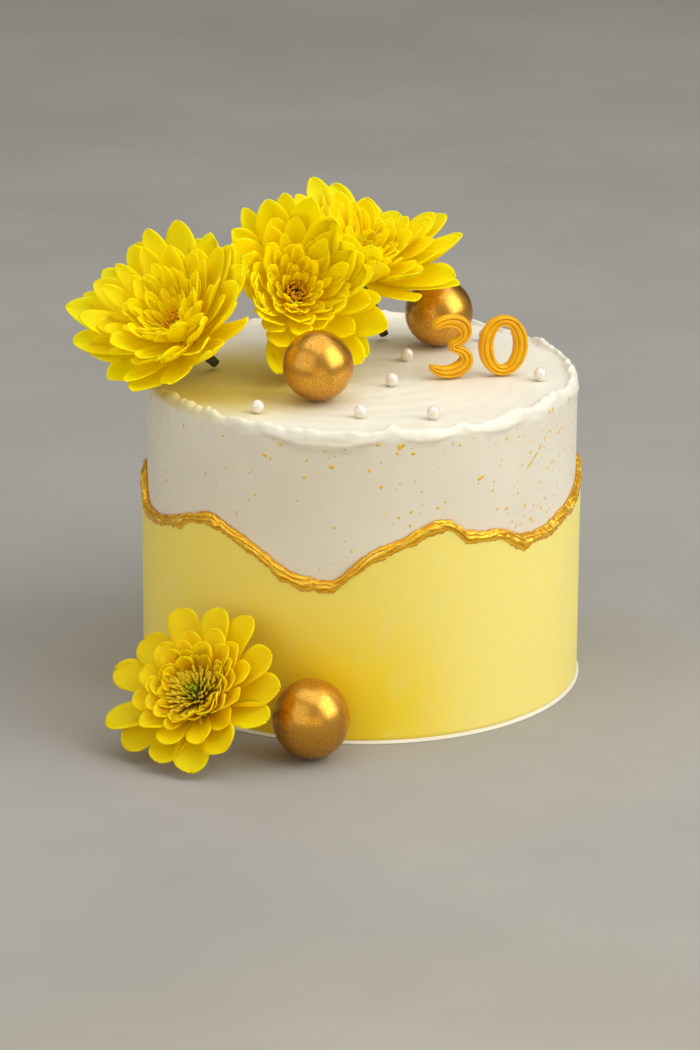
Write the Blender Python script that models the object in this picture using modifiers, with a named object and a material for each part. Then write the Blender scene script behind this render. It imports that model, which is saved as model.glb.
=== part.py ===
"""A round cream cake with a torn gold seam, fresh chrysanthemums, gold balls and sugar pearls.

Metres, +Z up. The origin is the middle of the cake's underside, and -Y is the front.
Angles round the cake are in degrees from the front, growing towards +X.
"""

import math
import random

import bmesh
import bpy
from mathutils import Matrix, Vector

# The cake: a white cream body with a yellow cream coat round its lower part.
TOP_Z = 0.1195
WHITE_RADIUS = 0.0822
YELLOW_RADIUS = 0.0843
FOOT_RADIUS = 0.0852
FOOT_HEIGHT = 0.0024
ROUND_STEPS = 80
# Clear space between pieces that lie on or against each other.
GAP = 0.0003

# The torn lip round the top edge, and its folds: (angle, half width in degrees, extra height).
LIP_INNER_RADIUS = 0.0775
LIP_RADIUS = 0.0795
LIP_OUTER_RADIUS = 0.0813
LIP_HEIGHT = 0.0009
LIP_DROP = 0.0050
LIP_FOLDS = (
    (-62, 3, 0.0009),
    (-54, 3, 0.0007),
    (-45, 3, 0.0009),
    (-31, 7, 0.0010),
    (9, 5, 0.0017),
    (45, 5, 0.0018),
    (63, 8, 0.0015),
    (92, 7, 0.0010),
    (118, 6, 0.0014),
    (150, 9, 0.0009),
    (176, 5, 0.0015),
    (205, 8, 0.0010),
    (232, 6, 0.0013),
    (262, 7, 0.0011),
)

# The seam between the yellow coat and the white body: (angle, height) round the cake.
SEAM = (
    (-88, 0.0785),
    (-80, 0.0712),
    (-70, 0.0706),
    (-60, 0.0735),
    (-50, 0.0782),
    (-42, 0.0807),
    (-34, 0.0762),
    (-26, 0.0708),
    (-20, 0.0646),
    (-14, 0.0622),
    (-7, 0.0620),
    (-3, 0.0668),
    (3, 0.0742),
    (10, 0.0779),
    (18, 0.0834),
    (23, 0.0832),
    (28, 0.0790),
    (38, 0.0769),
    (46, 0.0722),
    (54, 0.0718),
    (63, 0.0735),
    (72, 0.0760),
    (82, 0.0790),
    (96, 0.0826),
    (112, 0.0788),
    (128, 0.0722),
    (146, 0.0702),
    (162, 0.0768),
    (178, 0.0826),
    (194, 0.0796),
    (208, 0.0708),
    (224, 0.0668),
    (240, 0.0712),
    (256, 0.0780),
)
EDGE_HALF_HEIGHT = 0.0023
EDGE_STANDS_OUT = 0.0009
EDGE_RAGGED = 0.0005

# Sugar pearls on the top, as (x, y), each sunk a little into the cream.
PEARL_RADIUS = 0.0025
PEARL_SUNK = 0.0003
PEARLS = (
    (-0.0388, -0.0545),
    (-0.0007, -0.0595),
    (0.0262, -0.0605),
    (0.0112, -0.0185),
    (0.0172, 0.0150),
    (0.0675, -0.0100),
    (0.0480, 0.0430),
)

# Gold balls: (x, y), radius, and height as a share of the width.
BALLS = {
    "ball_top_front": ((-0.0166, -0.0380), 0.01325, 1.0),
    "ball_top_back": ((0.0297, 0.0362), 0.01325, 1.0),
    "ball_foot": ((-0.0181, -0.0985), 0.0143, 1.055),
}

# The two plain numerals that stand on the top: (x, y) of each foot.
NUMERAL_HEIGHT = 0.0236
NUMERAL_DEPTH = 0.0042
NUMERAL_BEVEL = 0.0004
NUMERAL_TURN = 14
NUMERALS = {"numeral_three": (0.0330, -0.0085), "numeral_zero": (0.0535, -0.0040)}
# Shares of the height: half width and half height of the zero's outer and inner ovals.
ZERO_OVALS = ((0.41, 0.50), (0.17, 0.33))
ZERO_STEPS = 20
# Shares of the height: middle, half width, half height, first and last angle, steps.
THREE_BOWLS = (
    ((-0.02, 0.730), 0.270, 0.195, 155, -75, 9),
    ((-0.03, 0.275), 0.310, 0.200, 75, -155, 10),
)
THREE_THIN = 0.070
THREE_FAT = 0.055

# Chrysanthemums: the middle of the disc, the way the face looks (turn from the front, rise above
# level and spin about itself, in degrees), petal length, how far the petals close up into a bowl
# in degrees, the foot of the stem, and the seed of the random draws.
FLOWERS = {
    "flower_left": ((-0.0706, -0.0100, 0.1418), (-36, 50, 0), 0.0420, 5, (-0.0560, 0.0020, 0.1218), 3),
    "flower_middle": ((-0.0255, 0.0080, 0.1490), (9, 32, 0), 0.0395, 5, (-0.0230, 0.0260, 0.1218), 8),
    "flower_right": ((-0.0004, 0.0300, 0.1579), (2, 64, 0), 0.0395, -2, (0.0085, 0.0440, 0.1218), 5),
    "flower_foot": ((-0.0612, -0.0985, 0.0262), (-31, 44, 15), 0.0280, 11, (-0.0470, -0.0735, 0.0070), 12),
}
# Where petals are shorter: direction in the face and half width in degrees, and by what share.
SHORT_SIDES = {
    "flower_left": ((246, 36, 0.16), (95, 18, 0.15)),
    "flower_middle": ((136, 30, 0.08),),
    "flower_right": ((64, 30, 0.43), (12, 20, 0.06)),
    "flower_foot": ((-11, 40, 0.06), (250, 40, 0.06)),
}
# Whorls from the outside in: petals, share of the length, width, angles of the petal above
# the disc's plane at its base and tip, and where the base sits (out from and along the axis).
TOP_WHORLS = (
    (13, 1.00, 0.0122, (14, 36), (0.0058, -0.0100)),
    (11, 0.82, 0.0112, (28, 48), (0.0056, -0.0075)),
    (7, 0.56, 0.0088, (46, 62), (0.0054, -0.0050)),
)
FOOT_WHORLS = (
    (13, 1.00, 0.0120, (8, 2), (0.0082, -0.0080)),
    (12, 0.64, 0.0098, (24, 14), (0.0084, -0.0055)),
    (10, 0.38, 0.0072, (42, 30), (0.0088, -0.0035)),
)
# Rows of points along a petal: share of its length and share of its width.
PETAL_ROWS = ((0.0, 0.38), (0.36, 0.84), (0.74, 1.0), (1.0, 0.42))
PETAL_THICKNESS = 0.0007
PETAL_CUP = 0.13
# How a petal that meets something is raised in steps, and then shortened.
RAISE_STEPS = 14
RAISE_DEGREES = 3
SHORTEN_STEPS = 8
SHORTER = 0.90
STEEPEST = 85
CLEAR = 0.0009
# The heart of a flower: turned (share of the disc's radius, height along the axis).
HEART_PROFILE = ((0.92, -0.0010), (1.0, -0.0040), (0.85, -0.0090), (0.45, -0.0145), (0, -0.0155))
HEART_STEPS = 16
FOOT_DISC_RADIUS = 0.0105
FOOT_DISC_DOME = 0.0012
TOP_DISC_RADIUS = 0.0090
TOP_DISC_DOME = -0.0030
STEM_RADIUS = 0.0018
STEM_SIDES = 8
STEM_SUNK = 0.0120


def clear_scene():
    """Removes every object of the startup scene."""
    for item in list(bpy.data.objects):
        bpy.data.objects.remove(item)


def make_collection(name):
    """A new collection in the scene."""
    made = bpy.data.collections.new(name)
    bpy.context.scene.collection.children.link(made)
    return made


def move_to(item, collection):
    """Puts an object in one collection only."""
    for old in list(item.users_collection):
        old.objects.unlink(item)
    collection.objects.link(item)


def add_mesh(name, shape, home):
    """Makes an object from a bmesh, and frees the bmesh."""
    mesh = bpy.data.meshes.new(name)
    shape.to_mesh(mesh)
    shape.free()
    made = bpy.data.objects.new(name, mesh)
    home.objects.link(made)
    return made


def material(name, colour, roughness, metallic=0.0):
    """A Principled BSDF material."""
    made = bpy.data.materials.new(name)
    made.use_nodes = True
    shader = made.node_tree.nodes["Principled BSDF"]
    shader.inputs["Base Color"].default_value = (*colour, 1)
    shader.inputs["Roughness"].default_value = roughness
    shader.inputs["Metallic"].default_value = metallic
    return made


def finish(item, finish_material):
    """Gives an object its one material and smooth shading."""
    item.data.materials.clear()
    item.data.materials.append(finish_material)
    item.data.shade_smooth()
    item.data.set_sharp_from_angle(angle=math.radians(40))
    return item


def applied(item):
    """Swaps an object for a plain mesh object of its evaluated shape, in world space."""
    bpy.context.view_layer.update()
    graph = bpy.context.evaluated_depsgraph_get()
    shape = bmesh.new()
    shape.from_mesh(bpy.data.meshes.new_from_object(item.evaluated_get(graph)))
    shape.transform(item.matrix_world)
    name = item.name
    home = item.users_collection[0]
    bpy.data.objects.remove(item)
    return add_mesh(name, shape, home)


def weld(item):
    """Joins the points of a mesh that lie together, and faces it outwards."""
    shape = bmesh.new()
    shape.from_mesh(item.data)
    bmesh.ops.remove_doubles(shape, verts=shape.verts, dist=0.00001)
    bmesh.ops.recalc_face_normals(shape, faces=shape.faces)
    shape.to_mesh(item.data)
    shape.free()
    return item


def turned(name, profile, home, steps=ROUND_STEPS):
    """A profile of (radius, height) points turned round Z."""
    mesh = bpy.data.meshes.new(name)
    points = [(radius, 0, height) for radius, height in profile]
    mesh.from_pydata(points, [(i, i + 1) for i in range(len(points) - 1)], [])
    made = bpy.data.objects.new(name, mesh)
    home.objects.link(made)
    screw = made.modifiers.new("Turn", "SCREW")
    screw.steps = screw.render_steps = steps
    screw.use_merge_vertices = True
    screw.merge_threshold = 0.00001
    return weld(applied(made))


def union(base, collection):
    """Joins every object of a collection into base, and removes them."""
    join = base.modifiers.new("Join", "BOOLEAN")
    join.operation = "UNION"
    join.operand_type = "COLLECTION"
    join.collection = collection
    join.solver = "MANIFOLD"
    made = applied(base)
    for item in list(collection.objects):
        bpy.data.objects.remove(item)
    bpy.data.collections.remove(collection)
    keep_largest_shell(made)
    return made


def keep_largest_shell(item):
    """Fills sealed hollows and drops loose scraps, by keeping a mesh's largest shell alone."""
    shape = bmesh.new()
    shape.from_mesh(item.data)
    shells = []
    unseen = set(shape.verts)
    while unseen:
        shell = [unseen.pop()]
        for vertex in shell:
            near = {link.other_vert(vertex) for link in vertex.link_edges} & unseen
            unseen -= near
            shell.extend(near)
        shells.append(shell)
    shells.sort(key=len)
    loose = [vertex for shell in shells[:-1] for vertex in shell]
    bmesh.ops.delete(shape, geom=loose, context="VERTS")
    bmesh.ops.triangulate(shape, faces=shape.faces, quad_method="FIXED", ngon_method="EAR_CLIP")
    shape.to_mesh(item.data)
    shape.free()


def angle_at(point):
    """Angle of a point round the cake, from the front."""
    return math.degrees(math.atan2(point.x, -point.y))


def lip_fold(angle):
    """How far the torn lip's folds stand above its plain height at an angle."""
    height = 0
    for middle, half_width, fold in LIP_FOLDS:
        away = abs((angle - middle + 180) % 360 - 180) / half_width
        height += fold * math.exp(-away * away)
    return height


def seam_height(angle):
    """Height of the seam at an angle, on a smooth closed curve through SEAM."""
    count = len(SEAM)
    first = SEAM[0][0]
    angle = (angle - first) % 360 + first
    place = max(i for i in range(count) if SEAM[i][0] <= angle)
    knots = []
    for step in (-1, 0, 1, 2):
        laps, index = divmod(place + step, count)
        knots.append((SEAM[index][0] + 360 * laps, SEAM[index][1]))
    (a0, z0), (a1, z1), (a2, z2), (a3, z3) = knots
    t = (angle - a1) / (a2 - a1)
    rise_1 = (z2 - z0) / (a2 - a0) * (a2 - a1)
    rise_2 = (z3 - z1) / (a3 - a1) * (a2 - a1)
    start_share = 2 * t**3 - 3 * t**2 + 1
    rises = (t**3 - 2 * t**2 + t) * rise_1 + (t**3 - t**2) * rise_2
    return start_share * z1 + (1 - start_share) * z2 + rises


def ragged(angle):
    """An uneven value between -1 and 1 that closes round the cake."""
    turn = math.radians(angle)
    return 0.45 * math.sin(9 * turn + 0.6) + 0.35 * math.sin(23 * turn + 2.1) + 0.2 * math.sin(31 * turn + 4)


def make_cream_cake(home, finish_material):
    """The white body, solid inside, with its foot, torn lip and the pearls on its top."""
    profile = (
        (0, TOP_Z),
        (LIP_INNER_RADIUS, TOP_Z),
        (LIP_RADIUS, TOP_Z + LIP_HEIGHT),
        (LIP_OUTER_RADIUS, TOP_Z + LIP_HEIGHT * 0.7),
        (WHITE_RADIUS, TOP_Z - LIP_DROP),
        (WHITE_RADIUS, FOOT_HEIGHT),
        (FOOT_RADIUS, FOOT_HEIGHT - 0.0005),
        (FOOT_RADIUS, 0),
        (0, 0),
    )
    body = turned("cream_cake", profile, home)
    for vertex in body.data.vertices:
        if vertex.co.z > TOP_Z + GAP:
            on_crest = math.hypot(vertex.co.x, vertex.co.y) < (LIP_RADIUS + LIP_OUTER_RADIUS) / 2
            fold = lip_fold(angle_at(vertex.co)) * (1.0 if on_crest else 0.65)
            vertex.co.z += fold
    pearls = make_collection("pearls")
    for x, y in PEARLS:
        place = (x, y, TOP_Z + PEARL_RADIUS - PEARL_SUNK)
        bpy.ops.mesh.primitive_uv_sphere_add(segments=8, ring_count=5, radius=PEARL_RADIUS, location=place)
        move_to(bpy.context.object, pearls)
    return finish(union(body, pearls), finish_material)


def make_yellow_coat(home, finish_material):
    """The yellow cream round the lower part, up to the gold edge along the seam."""
    bottom = FOOT_HEIGHT + GAP
    inner = WHITE_RADIUS + GAP
    profile = ((inner, TOP_Z), (YELLOW_RADIUS, TOP_Z), (YELLOW_RADIUS, bottom), (inner, bottom), (inner, TOP_Z))
    coat = turned("yellow_cream", profile, home)
    for vertex in coat.data.vertices:
        if vertex.co.z > TOP_Z / 2:
            vertex.co.z = seam_height(angle_at(vertex.co)) - EDGE_HALF_HEIGHT - GAP
    return finish(coat, finish_material)


def make_gold_edge(home, finish_material):
    """The broken, gold painted edge along the seam: an uneven bead on top of the coat."""
    inner = WHITE_RADIUS + GAP
    half = EDGE_HALF_HEIGHT
    outer = YELLOW_RADIUS + EDGE_STANDS_OUT
    profile = (
        (inner, half),
        (YELLOW_RADIUS, half * 0.7),
        (outer, -half * 0.3),
        (outer - 0.0004, -half),
        (inner, -half),
        (inner, half),
    )
    bead = turned("gold_edge", profile, home)
    for vertex in bead.data.vertices:
        angle = angle_at(vertex.co)
        radius = math.hypot(vertex.co.x, vertex.co.y)
        if radius > inner + GAP:
            vertex.co.xy *= 1 + EDGE_RAGGED * ragged(angle) / radius
        if vertex.co.z > 0:
            vertex.co.z *= 1 + 0.3 * ragged(angle + 30)
        vertex.co.z += seam_height(angle)
    return finish(bead, finish_material)


def make_ball(name, home, finish_material):
    """One gold ball, resting on the top or on the surface at the cake's foot."""
    (x, y), radius, tallness = BALLS[name]
    rest = 0 if name == "ball_foot" else TOP_Z
    bpy.ops.mesh.primitive_uv_sphere_add(segments=16, ring_count=10, radius=radius)
    ball = bpy.context.object
    ball.name = ball.data.name = name
    ball.data.transform(Matrix.Diagonal((1, 1, tallness, 1)))
    ball.location = (x, y, rest + GAP + radius * tallness)
    move_to(ball, home)
    return finish(ball, finish_material)


def oval_arc(middle, half_width, half_height, first, last, steps):
    """Points along an oval, from one angle to another, as (across, up)."""
    points = []
    for step in range(steps + 1):
        turn = math.radians(first + (last - first) * step / steps)
        points.append(
            (middle[0] + half_width * math.cos(turn), middle[1] + half_height * math.sin(turn))
        )
    return points


def zero_outlines():
    """Outer and inner outline of the zero, as shares of its height."""
    full_turn = 360 - 360 / ZERO_STEPS
    return [oval_arc((0, 0.5), wide, tall, 0, full_turn, ZERO_STEPS - 1) for wide, tall in ZERO_OVALS]


def three_outlines():
    """Outline of the three, as shares of its height: a stroke that swells in each bowl."""
    stroke = [point for bowl in THREE_BOWLS for point in oval_arc(*bowl)]
    last = len(stroke) - 1
    one_side, other_side = [], []
    for i, (across, up) in enumerate(stroke):
        ahead = stroke[min(i + 1, last)]
        behind = stroke[max(i - 1, 0)]
        run, rise = ahead[0] - behind[0], ahead[1] - behind[1]
        swell = 0.5 - 0.5 * math.cos(4 * math.pi * i / last)
        half = (THREE_THIN + THREE_FAT * swell) / math.hypot(run, rise)
        one_side.append((across - half * rise, up + half * run))
        other_side.append((across + half * rise, up - half * run))
    return [one_side + other_side[::-1]]


def make_numeral(name, outlines, home, finish_material):
    """A plain moulded numeral standing on the top: a flat outline with some depth."""
    curve = bpy.data.curves.new(name, "CURVE")
    curve.dimensions = "2D"
    curve.fill_mode = "BOTH"
    curve.extrude = NUMERAL_DEPTH / 2 - NUMERAL_BEVEL
    curve.bevel_depth = NUMERAL_BEVEL
    curve.bevel_resolution = 0
    curve.offset = -NUMERAL_BEVEL
    lowest = min(up for outline in outlines for _across, up in outline)
    for outline in outlines:
        spline = curve.splines.new("POLY")
        spline.points.add(len(outline) - 1)
        for point, (across, up) in zip(spline.points, outline):
            point.co = (across * NUMERAL_HEIGHT, (up - lowest) * NUMERAL_HEIGHT, 0, 1)
        spline.use_cyclic_u = True
    made = bpy.data.objects.new(name, curve)
    home.objects.link(made)
    x, y = NUMERALS[name]
    made.location = (x, y, TOP_Z + GAP)
    made.rotation_euler = (math.radians(90), 0, math.radians(NUMERAL_TURN))
    return finish(weld(applied(made)), finish_material)


def flower_axes(name):
    """Across, up and outward directions of a flower's face."""
    turn, rise, spin = (math.radians(value) for value in FLOWERS[name][1])
    out = Vector((math.sin(turn) * math.cos(rise), -math.cos(turn) * math.cos(rise), math.sin(rise)))
    level = Vector((0, 0, 1)).cross(out).normalized()
    across = level * math.cos(spin) + out.cross(level) * math.sin(spin)
    return across, out.cross(across), out


def side_share(name, turn):
    """How long a petal is in its direction, as a share of the flower's full length."""
    share = 1.0
    for middle, half_width, less in SHORT_SIDES[name]:
        away = abs((math.degrees(turn) - middle + 180) % 360 - 180) / half_width
        share -= less * math.exp(-away * away)
    return share


def petal_line(base, direction, out, length, angles):
    """The middle line of a petal and its normals, bending from one angle to another."""
    place = Vector(base)
    line = []
    before = 0
    for share, _width in PETAL_ROWS:
        slope = math.radians(angles[0] + (angles[1] - angles[0]) * (share + before) / 2)
        place = place + (direction * math.cos(slope) + out * math.sin(slope)) * length * (share - before)
        angle = math.radians(angles[0] + (angles[1] - angles[0]) * share)
        line.append((place, out * math.cos(angle) - direction * math.sin(angle)))
        before = share
    return line


def petal_sections(line, width, side):
    """Left rim, underside, right rim and upper side of a petal at each row along it."""
    sections = []
    for (place, normal), (_share, width_share) in zip(line, PETAL_ROWS):
        half = side * (width / 2 * width_share)
        rim = normal * (width * PETAL_CUP * width_share)
        thick = normal * (PETAL_THICKNESS / 2)
        sections.append((place - half + rim, place - thick, place + half + rim, place + thick))
    return sections


def is_clear(name, points):
    """Whether points keep clear of the cake, the balls and the space of the other flowers."""
    on_top = name != "flower_foot"
    centre = Vector(FLOWERS[name][0])
    for point in points:
        radius = math.hypot(point.x, point.y)
        if on_top:
            lip = 0.0035 if radius > LIP_INNER_RADIUS - CLEAR * 2 else 0
            if radius < YELLOW_RADIUS + CLEAR and point.z < TOP_Z + CLEAR + lip:
                return False
        elif point.z < CLEAR or radius < YELLOW_RADIUS + EDGE_STANDS_OUT + EDGE_RAGGED + CLEAR:
            return False
        for ball_name, ((x, y), ball_radius, tallness) in BALLS.items():
            rest = 0 if ball_name == "ball_foot" else TOP_Z
            away = point - Vector((x, y, rest + ball_radius * tallness))
            if math.hypot(away.x, away.y, away.z / tallness) < ball_radius + CLEAR:
                return False
        for other, (other_centre, *_rest) in FLOWERS.items():
            if on_top and other not in (name, "flower_foot"):
                apart = Vector(other_centre) - centre
                if (point - centre).dot(apart.normalized()) > apart.length / 2 - CLEAR:
                    return False
    return True


def fitted_petal(name, base, direction, out, length, width, angles):
    """The sections of one petal, raised in steps and then shortened until it is clear."""
    side = direction.cross(out)
    for attempt in range(RAISE_STEPS + SHORTEN_STEPS):
        raised = min(attempt, RAISE_STEPS) * RAISE_DEGREES
        shorter = SHORTER ** max(0, attempt - RAISE_STEPS)
        own_angles = (angles[0] + raised * 0.7, min(STEEPEST, angles[1] + raised))
        line = petal_line(base, direction, out, length * shorter, own_angles)
        sections = petal_sections(line, width, side)
        if is_clear(name, [point for section in sections[1:] for point in section]):
            break
    return sections


def make_petal(name, sections, home):
    """One petal: a thin cupped strip, closed all round, whose two faces split alike."""
    shape = bmesh.new()
    rows = [[shape.verts.new(point) for point in section] for section in sections]
    for lower, upper in zip(rows, rows[1:]):
        for i in range(4):
            j = (i + 1) % 4
            shape.faces.new((lower[i], lower[j], upper[j], upper[i]))
    shape.faces.new(rows[0])
    shape.faces.new(rows[-1])
    bmesh.ops.recalc_face_normals(shape, faces=shape.faces)
    bmesh.ops.triangulate(shape, faces=shape.faces)
    add_mesh(name, shape, home)


def make_stem(name, start, end, home):
    """A straight length of wrapped stem between two points, thicker at its far end."""
    way = end - start
    shape = bmesh.new()
    bmesh.ops.create_cone(
        shape,
        cap_ends=True,
        segments=STEM_SIDES,
        radius1=STEM_RADIUS,
        radius2=STEM_RADIUS * 1.3,
        depth=way.length,
    )
    turn = way.to_track_quat("Z", "Y").to_matrix().to_4x4()
    bmesh.ops.transform(shape, matrix=Matrix.Translation((start + end) / 2) @ turn, verts=shape.verts)
    add_mesh(name, shape, home)


def make_flower(name, home, finish_material):
    """A chrysanthemum: a turned heart with its disc, three whorls of petals and a stem."""
    centre, _face, length, closing, foot, seed = FLOWERS[name]
    centre = Vector(centre)
    across, up, out = flower_axes(name)
    at_foot = name == "flower_foot"
    disc = FOOT_DISC_RADIUS if at_foot else TOP_DISC_RADIUS
    dome = FOOT_DISC_DOME if at_foot else TOP_DISC_DOME
    profile = [(0, dome), (disc * 0.55, dome * 0.8)]
    profile += [(disc * share, height) for share, height in HEART_PROFILE]
    heart = turned(name, profile, home, steps=HEART_STEPS)
    pose = Matrix((across, up, out)).transposed().to_4x4()
    heart.data.transform(Matrix.Translation(centre) @ pose)
    pieces = make_collection(name + "_pieces")
    draw = random.Random(seed)
    whorls = FOOT_WHORLS if at_foot else TOP_WHORLS
    for ring, (count, share, width, angles, (away, along)) in enumerate(whorls):
        for i in range(count):
            turn = 2 * math.pi * (i + ring / 2 + draw.uniform(-0.16, 0.16)) / count
            own_length = length * share * draw.uniform(0.90, 1.06) * side_share(name, turn)
            own_width = width * draw.uniform(0.90, 1.10)
            tilt = closing + draw.uniform(-5, 5)
            direction = across * math.cos(turn) + up * math.sin(turn)
            base = centre + direction * away + out * along
            own_angles = (angles[0] + tilt, angles[1] + tilt)
            sections = fitted_petal(name, base, direction, out, own_length, own_width, own_angles)
            make_petal(f"{name}_petal_{ring}_{i}", sections, pieces)
    make_stem(name + "_stem", Vector(foot), centre - out * STEM_SUNK, pieces)
    return finish(union(heart, pieces), finish_material)


def main():
    clear_scene()
    home = make_collection("cream_cake_with_flowers")
    make_cream_cake(home, material("white_cream", (0.86, 0.80, 0.68), 0.45))
    make_yellow_coat(home, material("yellow_cream", (0.90, 0.72, 0.16), 0.45))
    make_gold_edge(home, material("gold_paint", (0.75, 0.46, 0.06), 0.35, 0.7))
    gold_leaf = material("gold_ball", (0.80, 0.50, 0.16), 0.32, 1.0)
    for name in BALLS:
        make_ball(name, home, gold_leaf)
    numeral = material("gold_numeral", (0.80, 0.48, 0.05), 0.45, 0.2)
    make_numeral("numeral_three", three_outlines(), home, numeral)
    make_numeral("numeral_zero", zero_outlines(), home, numeral)
    petal = material("petal_yellow", (0.93, 0.76, 0.01), 0.55)
    for name in FLOWERS:
        make_flower(name, home, petal)


main()
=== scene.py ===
"""Looks of a round cream cake with a torn gold seam, chrysanthemums, gold balls and sugar pearls.

Metres, +Z up. The cake's axis is Z and -Y is the front. Angles round the cake are in degrees from
the front, growing towards +X.
"""

import math
import random
from collections import namedtuple
from functools import partial

import bmesh
import bpy
import numpy as np
from mathutils import Matrix, Vector, noise


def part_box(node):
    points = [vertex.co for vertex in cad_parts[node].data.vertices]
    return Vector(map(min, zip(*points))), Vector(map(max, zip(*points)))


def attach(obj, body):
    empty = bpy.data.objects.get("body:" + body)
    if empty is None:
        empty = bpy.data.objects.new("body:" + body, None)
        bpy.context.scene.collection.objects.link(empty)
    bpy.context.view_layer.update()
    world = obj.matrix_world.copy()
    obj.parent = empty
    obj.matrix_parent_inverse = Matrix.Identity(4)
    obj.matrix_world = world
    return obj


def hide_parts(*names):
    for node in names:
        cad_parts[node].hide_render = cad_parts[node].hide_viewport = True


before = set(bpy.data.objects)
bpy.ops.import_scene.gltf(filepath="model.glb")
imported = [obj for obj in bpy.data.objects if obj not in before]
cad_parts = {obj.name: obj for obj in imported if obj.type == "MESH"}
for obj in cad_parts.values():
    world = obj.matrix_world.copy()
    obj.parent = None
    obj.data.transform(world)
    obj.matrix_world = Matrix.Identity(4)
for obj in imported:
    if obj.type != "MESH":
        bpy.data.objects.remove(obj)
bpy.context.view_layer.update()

# The photo's camera: frame size in pixels, focal length in pixels, place and angles in degrees.
FRAME_HEIGHT = 1050
FOCAL_PIXELS = 4454.1
SENSOR = 36
EYE = (-0.00425, -1.63041, 0.60512)
PITCH_DOWN = 18.558
ROLL = 0.404

# The cake, as the solids have it.
TOP_Z = 0.1195
WHITE_RADIUS = 0.0822
YELLOW_RADIUS = 0.0843
FOOT_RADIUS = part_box("cream_cake")[1].x
FOOT_HEIGHT = 0.0013
GAP = 0.0003
CAKE_STEPS = 600
# Rows of points down the white cake: the top, the lip's inner side, the bend outside it and the wall.
TOP_ROWS = 44
LIP_ROWS = 8
BEND_ROWS = 13
WALL_ROWS = 55
WALL_START = TOP_Z - 0.0040
# The foot's profile: how far it is inset, and its height.
FOOT_PROFILE = ((0.0006, FOOT_HEIGHT), (0.0001, FOOT_HEIGHT - 0.0007), (0.0, 0.0006), (0.0002, 0.0))
COAT_ROWS = 56
# The middle of the part of the top where the flowers' yellow shade is painted on the cream.
FLOWER_SHADE_MIDDLE = (-0.0520, -0.0150, TOP_Z)

# The torn lip round the top edge, and its folds: (angle, half width in degrees, extra height).
LIP_RADIUS = 0.0797
LIP_HEIGHT = 0.0009
LIP_FOLDS = (
    (-62, 3, 0.0009), (-54, 3, 0.0007), (-45, 3, 0.0009), (-36, 3, 0.0008), (-27, 4, 0.0011),
    (-15, 3, 0.0006), (8, 1.9, 0.0026), (12, 5, 0.0007), (27, 3, 0.0008), (45, 5, 0.0018),
    (63, 8, 0.0015), (92, 7, 0.0010), (118, 6, 0.0014), (150, 9, 0.0009), (176, 5, 0.0015),
    (205, 8, 0.0010), (232, 6, 0.0013), (262, 7, 0.0011),
)
# Small crags on the lip: (first angle, last angle, degrees between them, height).
LIP_CRAGS = ((-66, -41, 3.6, 0.0012), (52, 72, 4.6, 0.0009), (128, 140, 4.4, 0.0009), (222, 240, 4.1, 0.0010))
# Sagging folds just under the lip: (first angle, last angle, drop, how far they stand out).
SAG_FOLDS = (
    (-27, 7, 0.0040, 0.00110), (9, 26, 0.0020, 0.00060), (30, 47, 0.0020, 0.00060),
    (68, 96, 0.0030, 0.00050), (140, 170, 0.0032, 0.00055), (212, 236, 0.0026, 0.00050),
)

# The seam between the yellow coat and the white body: (angle, height) round the cake.
SEAM = (
    (-88, 0.0785), (-80, 0.0712), (-70, 0.0706), (-60, 0.0735), (-50, 0.0782), (-42, 0.0807),
    (-34, 0.0762), (-26, 0.0708), (-20, 0.0646), (-14, 0.0622), (-7, 0.0620), (-3, 0.0668), (3, 0.0742),
    (10, 0.0779), (18, 0.0834), (23, 0.0832), (28, 0.0790), (38, 0.0769), (46, 0.0722), (54, 0.0718),
    (63, 0.0735), (72, 0.0760), (82, 0.0790), (96, 0.0826), (112, 0.0788), (128, 0.0722), (146, 0.0702),
    (162, 0.0768), (178, 0.0826), (194, 0.0796), (208, 0.0708), (224, 0.0668), (240, 0.0712),
    (256, 0.0780),
)
EDGE_HALF_HEIGHT = 0.0023
EDGE_STANDS_OUT = 0.0012
EDGE_STEPS = 1400
EDGE_ROWS = 26

# Drips and broad patches on the lower side of the gold edge: (angle, half width, extra drop).
EDGE_BLOBS = (
    (-54.5, 2.6, 0.0011), (-20.4, 1.2, 0.0010), (-14.4, 2.4, 0.0010), (2.5, 5.0, 0.0009),
    (28.0, 2.4, 0.0006), (45.2, 3.6, 0.0018), (57.0, 2.6, 0.0008), (88.0, 3.0, 0.0011),
    (123.0, 2.2, 0.0009), (171.0, 3.4, 0.0013), (214.0, 2.4, 0.0010), (252.0, 2.8, 0.0009),
)

# Gold spatter on the white side.
SPATTER_COUNT = 620
MARK_SCALE = 1.7
MARK_SIDES = 9
# A mark's rings, as share of its size and height above the side, and the height of its peak.
MARK_RINGS = ((1.0, -0.00006), (0.72, 0.00006))
MARK_PEAK = 0.00010
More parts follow.
